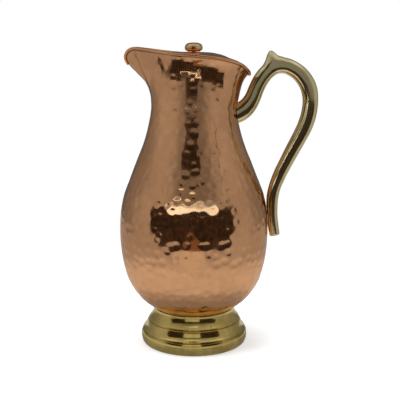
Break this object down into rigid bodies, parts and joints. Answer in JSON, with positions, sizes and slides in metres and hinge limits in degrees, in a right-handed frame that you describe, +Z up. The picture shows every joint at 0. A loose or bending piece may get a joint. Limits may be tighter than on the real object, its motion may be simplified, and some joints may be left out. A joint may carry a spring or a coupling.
{
  "type": "water jug",
  "caption": "Hammered copper water jug with a raised trough spout, wired rim, cast handle, turned hollow foot and a lift-off domed lid with a ball knob.",
  "frame": {"origin": "middle of the bounding box on the plane that the foot stands on; the vessel's own axis is the vertical line 23.3 mm towards the spout from it", "axes": "+Z up along the vessel's axis, +X from the spout towards the handle, +Y across"},
  "size_m": [0.1914, 0.1446, 0.2941],
  "materials": {
    "hammered_copper": "hammered all over with small round dents and polished bright",
    "cast_brass": "cast, filed to flat facets and polished bright",
    "turned_brass": "lathe-turned and polished, with fine turning lines",
    "turned_copper": "lathe-turned and polished",
    "screw_brass": "plain turned",
    "rim_wire_steel": "drawn wire"
  },
  "bodies": {
    "jug": {"body_shell": "hammered_copper", "base_disc": "hammered_copper", "rim_wire": "rim_wire_steel", "foot_ring": "turned_brass", "foot_band": "turned_brass", "handle": "cast_brass", "handle_screw_upper": "screw_brass", "handle_screw_lower": "screw_brass", "handle_washer_upper": "screw_brass", "handle_washer_lower": "screw_brass"},
    "lid": {"lid_plate": "hammered_copper", "lid_collar": "hammered_copper", "lid_knob": "turned_copper", "knob_screw": "screw_brass", "knob_washer": "screw_brass"}
  },
  "joints": [
    {"name": "lid_lift", "type": "slide", "parent": "jug", "child": "lid", "axis": [0, 0, 1], "range_m": [0, 0.06]}
  ]
}
